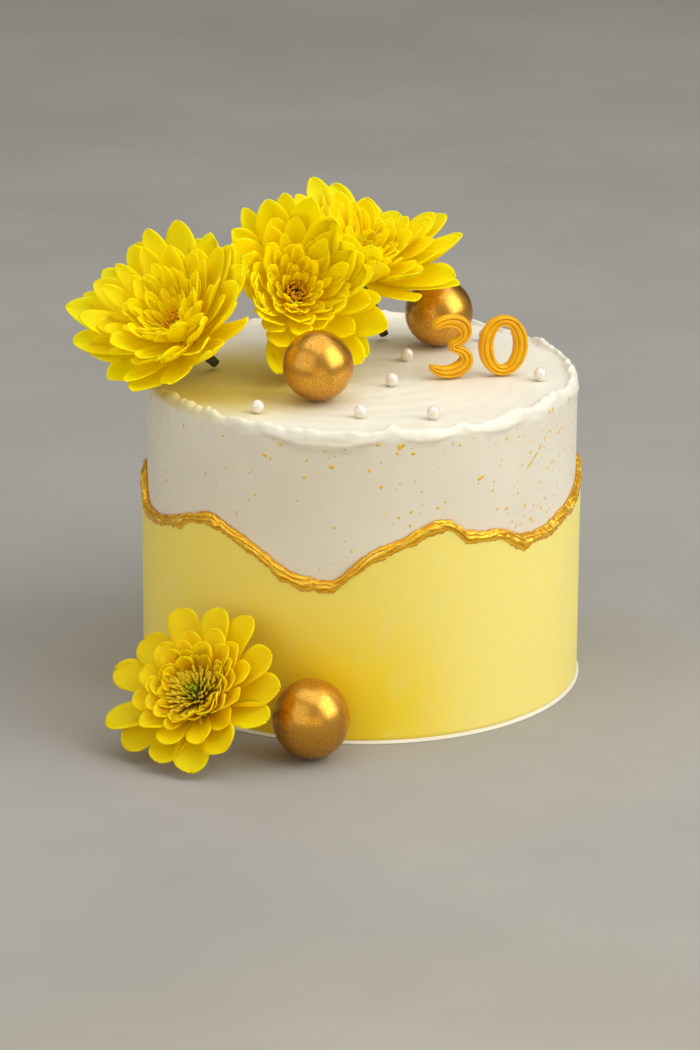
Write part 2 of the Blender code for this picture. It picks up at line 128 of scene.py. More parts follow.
# The larger marks: (angle, height, half width, half height, lean in degrees).
SPATTER_MARKS = (
    (-38.7, 0.1135, 0.00030, 0.00034, 0), (-28.7, 0.0936, 0.00042, 0.00034, 0),
    (-25.7, 0.1094, 0.00075, 0.00044, -15), (-24.2, 0.1084, 0.00042, 0.00034, 0),
    (-21.3, 0.1143, 0.00048, 0.00044, 0), (-14.9, 0.1027, 0.00048, 0.00042, 20),
    (-9.5, 0.1132, 0.00055, 0.00026, 0), (-7.8, 0.1074, 0.00075, 0.00066, 0),
    (-7.0, 0.0840, 0.00036, 0.00034, 0), (1.8, 0.1062, 0.00042, 0.00046, 0),
    (4.0, 0.1163, 0.00055, 0.00034, 0), (9.0, 0.1128, 0.00036, 0.00044, 0),
    (9.6, 0.0880, 0.00036, 0.00040, 0), (9.7, 0.1150, 0.00050, 0.00085, -14),
    (12.7, 0.0898, 0.00036, 0.00048, 0), (13.2, 0.1122, 0.00055, 0.00034, 0),
    (25.8, 0.1138, 0.00036, 0.00038, 0), (32.3, 0.0998, 0.00048, 0.00120, -68),
    (36.1, 0.0939, 0.00034, 0.00038, 0), (41.0, 0.0856, 0.00036, 0.00044, 0),
    (49.4, 0.1001, 0.00034, 0.00190, -50), (51.8, 0.1027, 0.00036, 0.00150, -50),
    (53.8, 0.1052, 0.00034, 0.00100, -40), (56.0, 0.1078, 0.00034, 0.00080, -35),
)

# Sugar pearls on the top, as (x, y).
PEARL_RADIUS = 0.0025
PEARL_TALLNESS = 1.08
PEARL_SUNK = 0.0003
PEARLS = (
    (-0.0388, -0.0545), (-0.0007, -0.0595), (0.0262, -0.0605), (0.0112, -0.0185), (0.0172, 0.0150),
    (0.0675, -0.0100), (0.0480, 0.0430),
)

BALLS = ("ball_top_front", "ball_top_back", "ball_foot")

# The two plain numerals: middle of each foot, and their outlines as shares of the height.
NUMERAL_HEIGHT = 0.0236
NUMERAL_DEPTH = 0.0042
NUMERAL_TURN = 14
NUMERALS = {"numeral_three": (0.0330, -0.0085), "numeral_zero": (0.0535, -0.0040)}
ZERO_OVALS = ((0.41, 0.50), (0.17, 0.33))
THREE_BOWLS = (
    ((-0.02, 0.730), 0.270, 0.195, 155, -75),
    ((-0.03, 0.275), 0.310, 0.200, 75, -155),
)
THREE_THIN = 0.070
THREE_FAT = 0.055
STROKE_STEPS = 22

# Chrysanthemums: middle of the disc, the way the face looks (turn from the front, rise above
# level and spin about itself, in degrees), petal length, how far the petals close up in degrees,
# the foot of the stem, the seed of the random draws, and where petals are shorter: direction in
# the face and half width in degrees, and by what share.
Flower = namedtuple("Flower", "centre face length closing stem_foot seed short_sides")
FLOWERS = {
    "flower_left": Flower(
        Vector((-0.0706, -0.0100, 0.1418)), (-36, 50, 0), 0.0420, 5, Vector((-0.0560, 0.0020, 0.1218)), 3,
        ((246, 36, 0.16), (95, 18, 0.15)),
    ),
    "flower_middle": Flower(
        Vector((-0.0255, 0.0080, 0.1490)), (9, 32, 0), 0.0395, 5, Vector((-0.0230, 0.0260, 0.1218)), 8,
        ((136, 30, 0.08),),
    ),
    "flower_right": Flower(
        Vector((-0.0004, 0.0300, 0.1579)), (2, 64, 0), 0.0395, -2, Vector((0.0085, 0.0440, 0.1218)), 5,
        ((64, 30, 0.43), (12, 20, 0.06)),
    ),
    "flower_foot": Flower(
        Vector((-0.0612, -0.0985, 0.0262)), (-31, 44, 15), 0.0280, 11, Vector((-0.0470, -0.0735, 0.0070)), 12,
        ((-11, 40, 0.06), (250, 40, 0.06)),
    ),
}
FOOT_FLOWER = "flower_foot"
Petal = namedtuple("Petal", "base direction out length width angles")
# Whorls from the outside in: petals, share of the length, width, angles of the petal above
# the disc's plane at its base and tip, and where the base sits (out from and along the axis).
TOP_WHORLS = (
    (13, 1.00, 0.0122, (14, 36), (0.0058, -0.0100)),
    (11, 0.82, 0.0112, (28, 48), (0.0056, -0.0075)),
    (7, 0.56, 0.0088, (46, 62), (0.0054, -0.0050)),
)
FOOT_WHORLS = (
    (13, 1.00, 0.0120, (8, 2), (0.0082, -0.0080)),
    (12, 0.64, 0.0098, (24, 14), (0.0084, -0.0055)),
    (10, 0.38, 0.0072, (42, 30), (0.0088, -0.0035)),
)
# Smaller inner petals that only this surface has.
TOP_INNER_WHORLS = (
    (14, 0.94, 0.0104, (20, 41), (0.0057, -0.0088)),
    (14, 0.73, 0.0076, (36, 55), (0.0055, -0.0064)),
    (17, 0.58, 0.0055, (44, 62), (0.0053, -0.0052)),
    (18, 0.45, 0.0044, (52, 66), (0.0050, -0.0044)),
    (20, 0.34, 0.0031, (60, 68), (0.0046, -0.0040)),
    (18, 0.25, 0.0023, (66, 60), (0.0040, -0.0036)),
)
FOOT_INNER_WHORLS = (
    (13, 0.47, 0.0072, (36, 26), (0.0088, -0.0032)),
    (14, 0.27, 0.0050, (52, 46), (0.0096, -0.0018)),
)
# Whorls that the solids have too, and the inner ones, on the top (False) and at the foot (True).
WHORLS = {False: (TOP_WHORLS, TOP_INNER_WHORLS), True: (FOOT_WHORLS, FOOT_INNER_WHORLS)}
# Rows of points along a petal: share of its length and share of its width.
PETAL_ROWS = ((0.0, 0.38), (0.36, 0.84), (0.74, 1.0), (1.0, 0.42))
PETAL_THICKNESS = 0.0007
PETAL_CUP = 0.13
# How a petal gets clear of other things: raised in steps, less so at its base, and then shortened.
RAISE_STEPS = 14
RAISE_DEGREES = 3
BASE_RAISE = 0.7
STEEPEST = 85
SHORTEN_STEPS = 8
SHORTER = 0.90
CLEAR = 0.0009
LIP_INNER_RADIUS = 0.0775
LIP_ROOM = 0.0035
EDGE_CLEARANCE = 0.0014
# The petals' own mesh, finer than the solids.
FINE_ROWS = 16
FINE_ACROSS = 9
FINE_WIDER = 1.12
FINE_THICKNESS = 0.00038
INNER_UNEVEN = 2.4
SHORT_PETAL = 0.6
# The heart under the petals, as share of the disc's radius and depth; its top and the disc's radius
# on the top (False) and at the foot (True).
HEART_PROFILE = ((0.92, 0.0010), (1.0, 0.0040), (0.85, 0.0090), (0.45, 0.0145), (0, 0.0155))
HEART_TOPS = {False: 0.0058, True: 0.0032}
DISC_RADII = {False: 0.0090, True: 0.0105}
# A floret's rows, as share of its length and width, how many florets a disc has room for, how many
# of them its middle lacks, and the disc's own size, on the top (False) and at the foot (True).
FLORET_ROWS = ((0, 0.8), (0.5, 1.0), (0.85, 1.45), (1.0, 0.9))
FLORET_SIDES = 6
FLORET_COUNTS = {False: 60, True: 135}
BARE_FLORETS = {False: 10, True: 0}
FLORET_DISCS = {False: DISC_RADII[False] * 0.55, True: DISC_RADII[True]}
GOLDEN_ANGLE = math.radians(137.508)
STEM_RADIUS = 0.0018
STEM_SUNK = 0.0120
TAPE_TURNS = 7

# Soft square lights: name, place, size, power, colour and the point they look at.
LIGHTS = (
    ("window", (1.25, -0.48, 1.00), 1.4, 20.3, (1.0, 1.0, 0.99), (0, 0, 0.08)),
    ("overhead", (0.1, 0.1, 1.5), 1.8, 12.0, (1.0, 1.0, 0.98), (0, 0, 0.08)),
    ("fill", (-1.2, -1.1, 0.6), 2.2, 11.5, (1.0, 0.97, 0.91), (0, 0, 0.08)),
    ("glow", (0.03, -0.42, 0.015), 0.30, 0.20, (1.0, 0.80, 0.20), (0, 0, 0.02)),
)
# The floor: its front edge, where it bends up, the bend's radius, its height and its half width.
FLOOR_SIZES = (-6.0, 4.5, 1.0, 6.5, 7.5)


# Meshes

def add_object(name, data):
    """A new object in the scene."""
    made = bpy.data.objects.new(name, data)
    bpy.context.scene.collection.objects.link(made)
    return made


def finished(mesh, finish):
    """A smooth object from a mesh, with its material."""
    mesh.materials.append(finish)
    mesh.shade_smooth()
    return add_object(mesh.name, mesh)


def make_mesh(name, points, faces, finish, uvs=None):
    """An object from lists of points and faces, with an optional (u, v) for each point."""
    mesh = bpy.data.meshes.new(name)
    mesh.from_pydata([tuple(point) for point in points], [], faces)
    if uvs is not None:
        layer = mesh.uv_layers.new(name="UVMap")
        index = np.empty(len(mesh.loops), dtype=np.int64)
        mesh.loops.foreach_get("vertex_index", index)
        layer.data.foreach_set("uv", np.asarray(uvs, dtype=np.float32)[index].ravel())
    return finished(mesh, finish)


def mesh_from_shape(name, shape, finish):
    """An object from a bmesh, which is freed."""
    mesh = bpy.data.meshes.new(name)
    shape.to_mesh(mesh)
    shape.free()
    return finished(mesh, finish)


def face_out(item):
    """Turns the faces of a closed mesh outwards."""
    shape = bmesh.new()
    shape.from_mesh(item.data)
    bmesh.ops.recalc_face_normals(shape, faces=shape.faces)
    shape.to_mesh(item.data)
    shape.free()
    return item


def grid_faces(rows, columns, first=0, closed=True, loop_rows=False):
    """Quads of a grid of points, row after row, joined round its columns where it is closed."""
    faces = []
    for row in range(rows if loop_rows else rows - 1):
        upper = first + row * columns
        lower = first + (row + 1) % rows * columns
        for column in range(columns if closed else columns - 1):
            after = (column + 1) % columns
            faces.append((upper + column, lower + column, lower + after, upper + after))
    return faces


def circle(steps):
    """Points evenly spaced round a circle of radius 1."""
    turns = [2 * math.pi * step / steps for step in range(steps)]
    return [(math.cos(turn), math.sin(turn)) for turn in turns]


def tube_faces(rows, columns, first=0):
    """Faces of a closed tube of points, with its two ends capped."""
    last = first + (rows - 1) * columns
    ends = [tuple(range(first, first + columns)), tuple(reversed(range(last, last + columns)))]
    return grid_faces(rows, columns, first) + ends


def add_tint(item, tints):
    """Keeps three values, or one thrice, for each point of a mesh, which its material reads."""
    layer = item.data.color_attributes.new("tint", "FLOAT_COLOR", "POINT")
    colours = np.ones((len(item.data.vertices), 4), dtype=np.float32)
    colours[:len(tints), :3] = tints
    layer.data.foreach_set("color", colours.ravel())


def ring_shape(name, radii, heights, angles, finish, capped):
    """A shape round Z from arrays of radii and heights, one row down its outside for each angle."""
    rows, columns = radii.shape
    xs = radii * np.sin(angles)
    ys = -radii * np.cos(angles)
    points = np.stack([xs, ys, heights], axis=-1).reshape(-1, 3)
    faces = grid_faces(rows, columns, loop_rows=not capped)
    if capped:
        top = len(points)
        points = np.vstack([points, (0, 0, heights[0].mean()), (0, 0, heights[-1].mean())])
        last = (rows - 1) * columns
        for column in range(columns):
            after = (column + 1) % columns
            faces.append((top, column, after))
            faces.append((top + 1, last + after, last + column))
    return face_out(make_mesh(name, points, faces, finish))


def rough(x, y, z, scale, seed=0.0):
    """Smooth uneven values between about -1 and 1 at a point, with features of 1 / scale metres."""
    return noise.noise(Vector((x * scale + seed, y * scale - seed, z * scale + seed * 0.7)))


def round_the_cake(steps):
    """Turns evenly spaced round the cake, the same in degrees, and ones."""
    turns = np.linspace(0, 2 * math.pi, steps, endpoint=False)
    return turns, np.degrees(turns), np.ones(steps)


def rough_ring(turns, scale, seed):
    """Smooth uneven values all round the cake, on a circle of radius 1."""
    return np.array([rough(math.sin(turn), math.cos(turn), 0, scale, seed) for turn in turns])


def bells(table, angle, power=2):
    """Sum of bell-shaped swellings at an angle, each given as (middle, half width, size)."""
    total = 0.0
    for middle, half_width, size in table:
        away = abs((angle - middle + 180) % 360 - 180) / half_width
        total += size * math.exp(-(away**power))
    return total


# Shape of the cake

def crag_at(angle):
    """Height of the small crags on the lip at an angle."""
    height = 0.0
    for first, last, apart, size in LIP_CRAGS:
        inside = (angle - first) % 360
        if inside < last - first:
            ends = min(1.0, inside / apart, (last - first - inside) / apart)
            height += size * ends * abs(math.sin(math.pi * inside / apart)) ** 0.7
    return height


def seam_height(angle):
    """Height of the seam at an angle, on a smooth closed curve through SEAM."""
    count = len(SEAM)
    first = SEAM[0][0]
    angle = (angle - first) % 360 + first
    place = max(i for i in range(count) if SEAM[i][0] <= angle)
    knots = []
    for step in (-1, 0, 1, 2):
        laps, index = divmod(place + step, count)
        knots.append((SEAM[index][0] + 360 * laps, SEAM[index][1]))
    (a0, z0), (a1, z1), (a2, z2), (a3, z3) = knots
    t = (angle - a1) / (a2 - a1)
    rise_1 = (z2 - z0) / (a2 - a0) * (a2 - a1)
    rise_2 = (z3 - z1) / (a3 - a1) * (a2 - a1)
    start_share = 2 * t**3 - 3 * t**2 + 1
    rises = (t**3 - 2 * t**2 + t) * rise_1 + (t**3 - t**2) * rise_2
    return start_share * z1 + (1 - start_share) * z2 + rises


def sag_bulge(angle, z):
    """How far the sagging folds under the lip stand out of the side."""
    out = 0.0
    for first, last, drop, stand in SAG_FOLDS:
        share = ((angle - first) % 360) / (last - first)
        if share < 1:
            line = TOP_Z - 0.0006 - drop * math.sin(math.pi * share)
            fade = math.sin(math.pi * share) ** 0.6
            above = (z - line) / 0.0009
            out += stand * fade * (math.exp(-above * above) if above < 0 else math.exp(-above * 0.35))
    return out


def make_white_cake(finish):
    """The white cake: a smoothed top, a torn lip, the side and the foot."""
    turn, degrees, plain = round_the_cake(CAKE_STEPS)
    folds = np.array([bells(LIP_FOLDS, angle) for angle in degrees])
    crags = np.array([crag_at(angle) for angle in degrees])
    wander = rough_ring(turn, 9, 3.0)
    fine = rough_ring(turn, 30, 7.0)
    tear = rough_ring(turn, 17, 9.0)
    crest_height = LIP_HEIGHT + folds + crags + 0.0006 * np.maximum(wander, -0.7)
    crest_height += 0.0007 * tear + 0.0004 * fine
    crest_radius = LIP_RADIUS - 0.45 * folds - 0.3 * crags + 0.0006 * wander + 0.0007 * tear + 0.0005 * fine
    inner_radius = crest_radius - 0.0018 - 0.9 * folds + 0.0012 * wander + 0.0009 * tear
    rings = [(inner_radius * share, TOP_Z * plain) for share in np.linspace(0.03, 1, TOP_ROWS) ** 0.8]
    for share in np.linspace(0, 1, LIP_ROWS + 1)[1:]:
        radius = inner_radius + (crest_radius - inner_radius) * share**0.8
        rings.append((radius, TOP_Z + crest_height * (share * share * (3 - 2 * share))))
    for bend in np.linspace(0, math.pi / 2, BEND_ROWS + 1)[1:]:
        radius = crest_radius + (WHITE_RADIUS - crest_radius) * math.sin(bend) ** 0.62
        rings.append((radius, WALL_START + (TOP_Z + crest_height - WALL_START) * math.cos(bend)))
    for z in np.linspace(WALL_START, FOOT_HEIGHT + 0.0004, WALL_ROWS + 1)[1:]:
        rings.append((WHITE_RADIUS * plain, z * plain))
    for inset, z in FOOT_PROFILE:
        rings.append(((FOOT_RADIUS - inset) * plain, z * plain))
    radii, heights = np.array(rings).transpose(1, 0, 2)
    bend_start = TOP_ROWS + LIP_ROWS
    wall_start = bend_start + BEND_ROWS
    for row, column in np.ndindex(wall_start + WALL_ROWS - 2, CAKE_STEPS):
        radius, z = radii[row, column], heights[row, column]
        x, y = radius * math.sin(turn[column]), -radius * math.cos(turn[column])
        if row < TOP_ROWS:
            edge = min(1.0, (inner_radius[column] - radius) / 0.004)
            swirl = math.sin(radius * 700 + turn[column] * 1.5 + 2.5 * rough(x, y, 0, 25, 1.0))
            heights[row, column] += edge * (0.00007 * swirl + 0.00022 * rough(x, y, 0, 38, 5.0))
        elif row > bend_start:
            bulge = sag_bulge(degrees[column], z) + 0.00010 * rough(x, y, z * 0.6, 45, 2.0)
            if row <= wall_start:
                bulge += 0.00022 * rough(x, y, z * 2, 240, 4.0)
            radii[row, column] += bulge * min(1.0, (row - bend_start) / 6)
    return ring_shape("cake_white", radii, heights, turn, finish, capped=True)


def make_yellow_coat(finish):
    """The yellow cream round the lower part, thinning out under the gold edge."""
    turn, degrees, plain = round_the_cake(CAKE_STEPS)
    seam = np.array([seam_height(angle) for angle in degrees])
    inner = (WHITE_RADIUS + GAP / 2) * plain
    bottom = FOOT_HEIGHT + GAP
    shares = np.linspace(0, 1, COAT_ROWS)
    rings = [(YELLOW_RADIUS * plain, seam * (1 - share) + bottom * share) for share in shares]
    rings.append(((YELLOW_RADIUS - 0.0005) * plain, (bottom - 0.0004) * plain))
    rings += [(inner, bottom * plain), (inner, seam)]
    radii, heights = np.array(rings).transpose(1, 0, 2)
    for row, column in np.ndindex(COAT_ROWS, CAKE_STEPS):
        z = heights[row, column]
        x, y = math.sin(turn[column]) * YELLOW_RADIUS, -math.cos(turn[column]) * YELLOW_RADIUS
        under_edge = math.exp(-(((seam[column] - z) / 0.007) ** 2))
        smear = rough(x * 0.5, y * 0.5, z * 2.2, 160, 8.0)
        radii[row, column] += 0.00010 * rough(x, y, z * 0.5, 45, 6.0) + 0.00016 * under_edge * smear
    return ring_shape("cake_yellow", radii, heights, turn, finish, capped=False)


def make_gold_edge(finish):
    """The torn edge of the coat: a band with ridges that run along it and drips on its lower side."""
    out = EDGE_STANDS_OUT + (YELLOW_RADIUS - WHITE_RADIUS)
    coat_depth = (YELLOW_RADIUS - WHITE_RADIUS) / out
    turn, degrees, _plain = round_the_cake(EDGE_STEPS)
    radii, heights = np.zeros((2, EDGE_ROWS + 2, EDGE_STEPS))
    crests = np.zeros((EDGE_ROWS + 2, EDGE_STEPS))
    for column, a in enumerate(turn):
        x, y = math.sin(a), -math.cos(a)
        uneven = partial(rough, x, y, 0)
        seam = seam_height(degrees[column])
        high = EDGE_HALF_HEIGHT * (0.80 + 0.34 * uneven(9, 11) + 0.20 * uneven(40, 12))
        low = EDGE_HALF_HEIGHT * (0.97 + 0.50 * uneven(14, 13) + 0.34 * uneven(46, 14))
        low += bells(EDGE_BLOBS, degrees[column], 4) * (1 + 0.5 * uneven(90, 19)) + 0.0005 * uneven(110, 20)
        slant = 5 * a + 4.0 * uneven(7, 15)
        stand = 0.86 + 0.25 * uneven(24, 22)
        for row in range(EDGE_ROWS):
            share = row / (EDGE_ROWS - 1)
            belly = stand * math.sin(math.pi * min(1.0, 0.05 + share * 0.98)) ** 0.6
            folded = math.sin(share * 8.5 + slant + 1.4 * rough(x, y, share * 0.05, 22, 16))
            ridges = 1 - 2 * abs(folded) ** 0.8
            crease = min(1.0, abs(rough(x, y, share * 0.45, 9, 17)) * 6)
            lumps = rough(x * 0.0843, y * 0.0843, share * 0.004, 420, 18)
            depth = 0.04 + 0.80 * belly + 0.15 * ridges * belly + 0.08 * (crease - 0.7) + 0.03 * lumps
            if share > 0.5:
                depth = max(depth, coat_depth + 0.04 + 0.10 * (1 - share))
            radii[row, column] = WHITE_RADIUS + out * min(1.10, max(0.03, depth))
            heights[row, column] = seam + high - (high + low) * share
            # How far the band stands out here, which the paint turns into painted shade in its grooves.
            crests[row, column] = 0.5 + 0.3 * ridges + 0.2 * crease
        radii[EDGE_ROWS:, column] = WHITE_RADIUS + GAP / 3
        heights[EDGE_ROWS:, column] = seam - low, seam + high
    made = ring_shape("seam_gold", radii, heights, turn, finish, capped=False)
    add_tint(made, crests.reshape(-1, 1))
    return made


def make_spatter(finish):
    """Flecks of gold paint on the white side, as low domes with uneven outlines."""
    draw = random.Random(41)
    marks = list(SPATTER_MARKS)
    # Half of the small marks lie anywhere, and the others on the right, where they lean, or at the back.
    while len(marks) < SPATTER_COUNT:
        spread = (draw.uniform(-180, 180), draw.uniform(-180, 180), draw.gauss(62, 12), draw.gauss(-160, 20))
        angle = draw.choice(spread)
        z = draw.uniform(seam_height(angle) + 0.0040, TOP_Z - 0.0018)
        size = 0.00013 + 0.00023 * draw.random() ** 3
        leaning = angle > 35
        tall = size * draw.uniform(1.0, 2.6 if leaning else 1.5)
        marks.append((angle, z, size, tall, draw.uniform(-45, -15) if leaning else draw.uniform(-40, 40)))
    points, faces = [], []
    for angle, z, wide, tall, lean in marks:
        turn = math.radians(angle)
        tilt = math.radians(lean)
        normal = Vector((math.sin(turn), -math.cos(turn), 0))
        side = Vector((math.cos(turn), math.sin(turn), 0))
        surface = WHITE_RADIUS + sag_bulge(angle, z)
        start = len(points)
        for reach, rise in MARK_RINGS:
            for c, s in circle(MARK_SIDES):
                uneven = MARK_SCALE * reach * (1 + 0.28 * rough(c, s, angle, 1.3, 21.0))
                across, up = wide * uneven * c, tall * uneven * s
                along = across * math.cos(tilt) - up * math.sin(tilt)
                height = across * math.sin(tilt) + up * math.cos(tilt)
                sag = along * along / (2 * WHITE_RADIUS)
                points.append(normal * (surface + rise - sag) + side * along + Vector((0, 0, z + height)))
        points.append(normal * (surface + MARK_PEAK) + Vector((0, 0, z)))
        faces += grid_faces(len(MARK_RINGS), MARK_SIDES, first=start)
        rim, peak = start + MARK_SIDES, start + 2 * MARK_SIDES
        faces += [(rim + i, rim + (i + 1) % MARK_SIDES, peak) for i in range(MARK_SIDES)]
        faces.append(tuple(start + i for i in reversed(range(MARK_SIDES))))
    return face_out(make_mesh("gold_spatter", points, faces, finish))


# Balls and pearls

def add_ball(shape, place, radius, tallness, dent, segments, rings):
    """Adds a ball with faint dents to a bmesh, round the origin, and gives its points.

    The dents depend on the place that the ball is made for.
    """
    points = bmesh.ops.create_uvsphere(shape, u_segments=segments, v_segments=rings, radius=radius)["verts"]
    for point in points:
        point.co *= 1 + dent * noise.fractal(point.co.normalized() * 2.2 + place * 50, 1.0, 2.0, 3)
        point.co.z *= tallness
    return points


def ball_space(node):
    """Middle, radius and tallness of a ball's solid."""
    low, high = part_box(node)
    radius = (high.y - low.y) / 2
    return (low + high) / 2, radius, (high.z - low.z) / (high.y - low.y)


BALL_SPACES = {node: ball_space(node) for node in BALLS}


def make_gold_ball(node, finish):
    """A gold ball in place of its solid."""
    middle, radius, tallness = BALL_SPACES[node]
    shape = bmesh.new()
    add_ball(shape, middle, radius, tallness, 0.006, 64, 40)
    made = mesh_from_shape(node + "_leaf", shape, finish)
    made.location = middle
    return made


def make_pearls(finish):
    """The sugar pearls, as one piece."""
    shape = bmesh.new()
    for x, y in PEARLS:
        place = Vector((x, y, TOP_Z + PEARL_RADIUS * PEARL_TALLNESS - PEARL_SUNK))
        for point in add_ball(shape, place, PEARL_RADIUS, PEARL_TALLNESS, 0.03, 32, 20):
            point.co += place
    return mesh_from_shape("sugar_pearls", shape, finish)


# Numerals

def oval_arc(middle, half_width, half_height, first, last, steps):
    """Points along an oval, from one angle to another, as (across, up)."""
    points = []
    for step in range(steps + 1):
        turn = math.radians(first + (last - first) * step / steps)
        points.append((middle[0] + half_width * math.cos(turn), middle[1] + half_height * math.sin(turn)))
    return points


def zero_sides():
    """Outer and inner side of the zero's stroke."""
    steps = 72
    last = 360 - 360 / steps
    return [oval_arc((0, 0.5), wide, tall, 0, last, steps - 1) for wide, tall in ZERO_OVALS]


def three_sides():
    """Both sides of the three's stroke, which swells in each bowl."""
    steps = 30
    stroke = [point for bowl in THREE_BOWLS for point in oval_arc(*bowl, steps)]
    last = len(stroke) - 1
    one_side, other_side = [], []
    for i, (across, up) in enumerate(stroke):
        ahead = stroke[min(i + 1, last)]
        behind = stroke[max(i - 1, 0)]
        run, rise = ahead[0] - behind[0], ahead[1] - behind[1]
        swell = 0.5 - 0.5 * math.cos(4 * math.pi * i / last)
        ending = min(1.0, math.sqrt(max(0.0, min(i, last - i) / 2.5)))
        half = (THREE_THIN + THREE_FAT * swell) / math.hypot(run, rise) * max(0.25, ending)
        one_side.append((across - half * rise, up + half * run))
        other_side.append((across + half * rise, up - half * run))
    return one_side, other_side


def groove_depth(share):
    """Height of the moulded face across the stroke, from 0 at its rim to 1, with two grooves."""
    rim = min(1.0, 7 * min(share, 1 - share)) ** 0.5
    grooves = sum(math.exp(-(((share - place) / 0.045) ** 2)) for place in (0.30, 0.70))
    return rim - 0.60 * grooves * rim


def make_numeral(name, sides, closed, finish):
    """A moulded numeral: its stroke swept as rows across, with grooves along the front face."""
    one_side, other_side = sides
    lowest = min(up for _across, up in one_side + other_side)
    x, y = NUMERALS[name]
    stand = Matrix.Translation((x, y, TOP_Z + GAP))
    stand = stand @ Matrix.Rotation(math.radians(NUMERAL_TURN), 4, "Z")
    stand = stand @ Matrix.Rotation(math.radians(90), 4, "X")
    shares = [step / STROKE_STEPS for step in range(STROKE_STEPS + 1)]
    section = [(share, 0.25 + 0.75 * groove_depth(share)) for share in shares]
    for share in reversed(shares):
        section.append((share, -0.45 - 0.55 * min(1.0, 9 * min(share, 1 - share)) ** 0.5))
    points = []
    for (a, b), (c, d) in zip(one_side, other_side):
        for share, depth in section:
            across = a + (c - a) * share
            up = b + (d - b) * share - lowest
            local = Vector((across * NUMERAL_HEIGHT, up * NUMERAL_HEIGHT, depth * NUMERAL_DEPTH / 2))
            points.append(stand @ local)
    rows, columns = len(one_side), len(section)
    faces = grid_faces(rows, columns, loop_rows=True) if closed else tube_faces(rows, columns)
    return face_out(make_mesh(name + "_moulded", points, faces, finish))


# Flowers

def flower_axes(flower):
    """Across, up and outward directions of a flower's face."""
    turn, rise, spin = (math.radians(value) for value in flower.face)
    out = Vector((math.sin(turn) * math.cos(rise), -math.cos(turn) * math.cos(rise), math.sin(rise)))
    level = Vector((0, 0, 1)).cross(out).normalized()
    across = level * math.cos(spin) + out.cross(level) * math.sin(spin)
    return across, out.cross(across), out


def petal_line(petal, shares):
    """The middle line of a petal and its normals, bending from one angle to another."""
    first, last = petal.angles
    place = Vector(petal.base)
    line = []
    before = 0
    for share in shares:
        slope = math.radians(first + (last - first) * (share + before) / 2)
        way = petal.direction * math.cos(slope) + petal.out * math.sin(slope)
        place = place + way * petal.length * (share - before)
        angle = math.radians(first + (last - first) * share)
        line.append((place, petal.out * math.cos(angle) - petal.direction * math.sin(angle)))
        before = share
    return line


def petal_corners(petal):
    """The points of a petal, past its base, that have to be clear of other things."""
    side = petal.direction.cross(petal.out)
    line = petal_line(petal, [share for share, _width in PETAL_ROWS])
    corners = []
    for (place, normal), (_share, width) in list(zip(line, PETAL_ROWS))[1:]:
        half = side * (petal.width / 2 * width)
        rim = normal * (petal.width * PETAL_CUP * width)
        thick = normal * (PETAL_THICKNESS / 2)
        corners += [place - half + rim, place - thick, place + half + rim, place + thick]
    return corners


def is_clear(name, points):
    """Whether points keep clear of the cake, the balls and the space of the other flowers."""
    on_top = name != FOOT_FLOWER
    centre = FLOWERS[name].centre
    for point in points:
        radius = math.hypot(point.x, point.y)
        if on_top:
            lip = LIP_ROOM if radius > LIP_INNER_RADIUS - CLEAR * 2 else 0
            if radius < YELLOW_RADIUS + CLEAR and point.z < TOP_Z + CLEAR + lip:
                return False
        elif point.z < CLEAR or radius < YELLOW_RADIUS + EDGE_CLEARANCE + CLEAR:
            return False
        for middle, ball_radius, tallness in BALL_SPACES.values():
            away = point - middle
            if math.hypot(away.x, away.y, away.z / tallness) < ball_radius + CLEAR:
                return False
        for other, flower in FLOWERS.items():
            if on_top and other not in (name, FOOT_FLOWER):
                apart = flower.centre - centre
                if (point - centre).dot(apart.normalized()) > apart.length / 2 - CLEAR:
                    return False
    return True


def fitted(name, petal):
    """A petal raised in steps, and then shortened, until it is clear."""
    first, last = petal.angles
    for attempt in range(RAISE_STEPS + SHORTEN_STEPS):
        raised = min(attempt, RAISE_STEPS) * RAISE_DEGREES
        length = petal.length * SHORTER ** max(0, attempt - RAISE_STEPS)
        angles = (first + raised * BASE_RAISE, min(STEEPEST, last + raised))
        tried = petal._replace(length=length, angles=angles)
        if is_clear(name, petal_corners(tried)):
            break
    return tried


def width_share(share, blunt):
    """Width of a petal along its length, as a share of its widest: narrow base, rounded tip."""
    widest = 0.74 if blunt else 0.66
    if share < widest:
        return 0.38 + 0.62 * (1 - (1 - share / widest) ** 1.9)
    past = (share - widest) / (1.002 - widest)
    if blunt:
        return max(0.0, 1 - past**2.2) ** 0.56
    return max(0.0, 1 - past**2.1) ** 0.62


